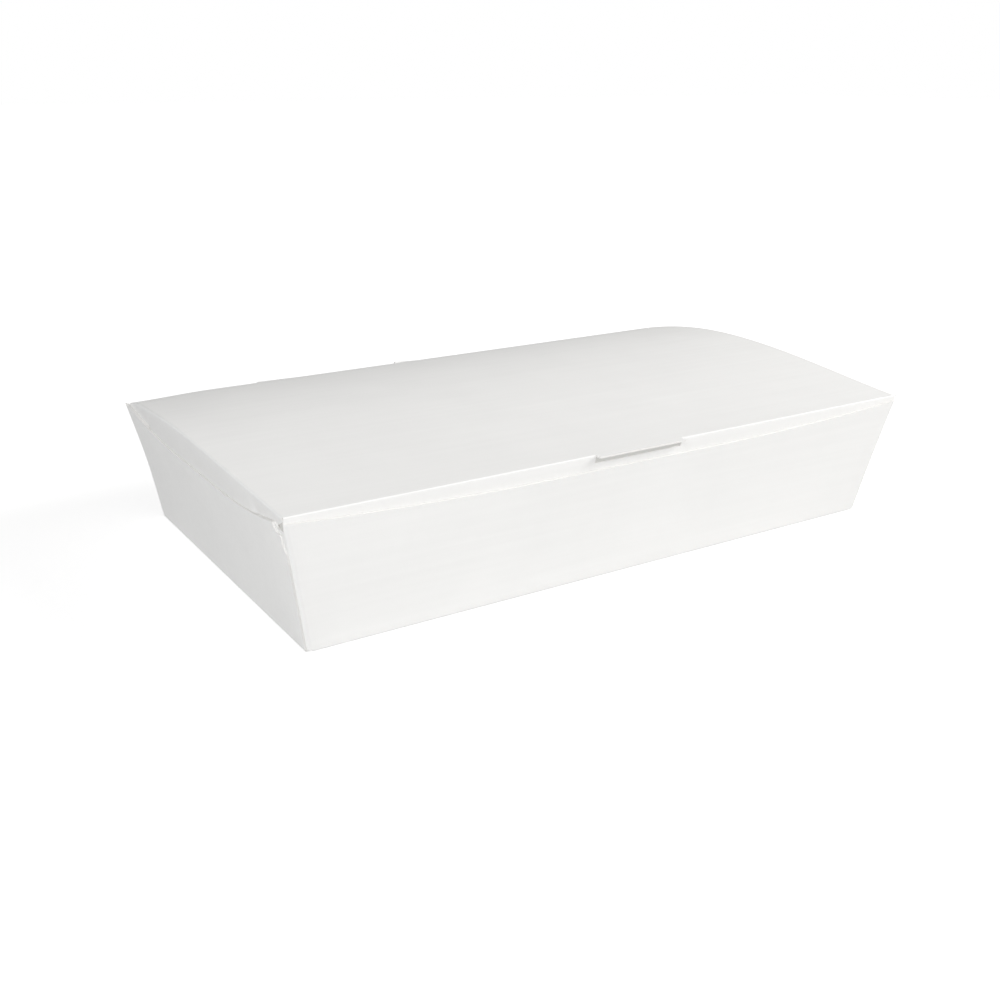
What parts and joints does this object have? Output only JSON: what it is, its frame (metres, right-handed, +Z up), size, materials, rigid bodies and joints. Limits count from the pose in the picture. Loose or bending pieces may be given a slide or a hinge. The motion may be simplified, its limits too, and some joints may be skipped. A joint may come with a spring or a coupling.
{
  "type": "takeaway food box",
  "caption": "Shallow rectangular folding-card food box with flaring walls and a hinged, gently arched lid that tucks inside the front and end walls.",
  "frame": {"origin": "middle of the base's underside", "axes": "+X along the length, towards the right end; -Y towards the front, where the lid opens; +Z up"},
  "size_m": [0.2348, 0.1428, 0.049],
  "materials": {
    "card": "matt uncoated white folding board"
  },
  "bodies": {
    "tray": {"tray": "card"},
    "lid": {"lid": "card"}
  },
  "joints": [
    {"name": "lid_hinge", "type": "hinge", "parent": "tray", "child": "lid", "pos_m": [0, 0.07065, 0.04205], "axis": [-1, 0, 0], "range_deg": [0, 195]}
  ]
}
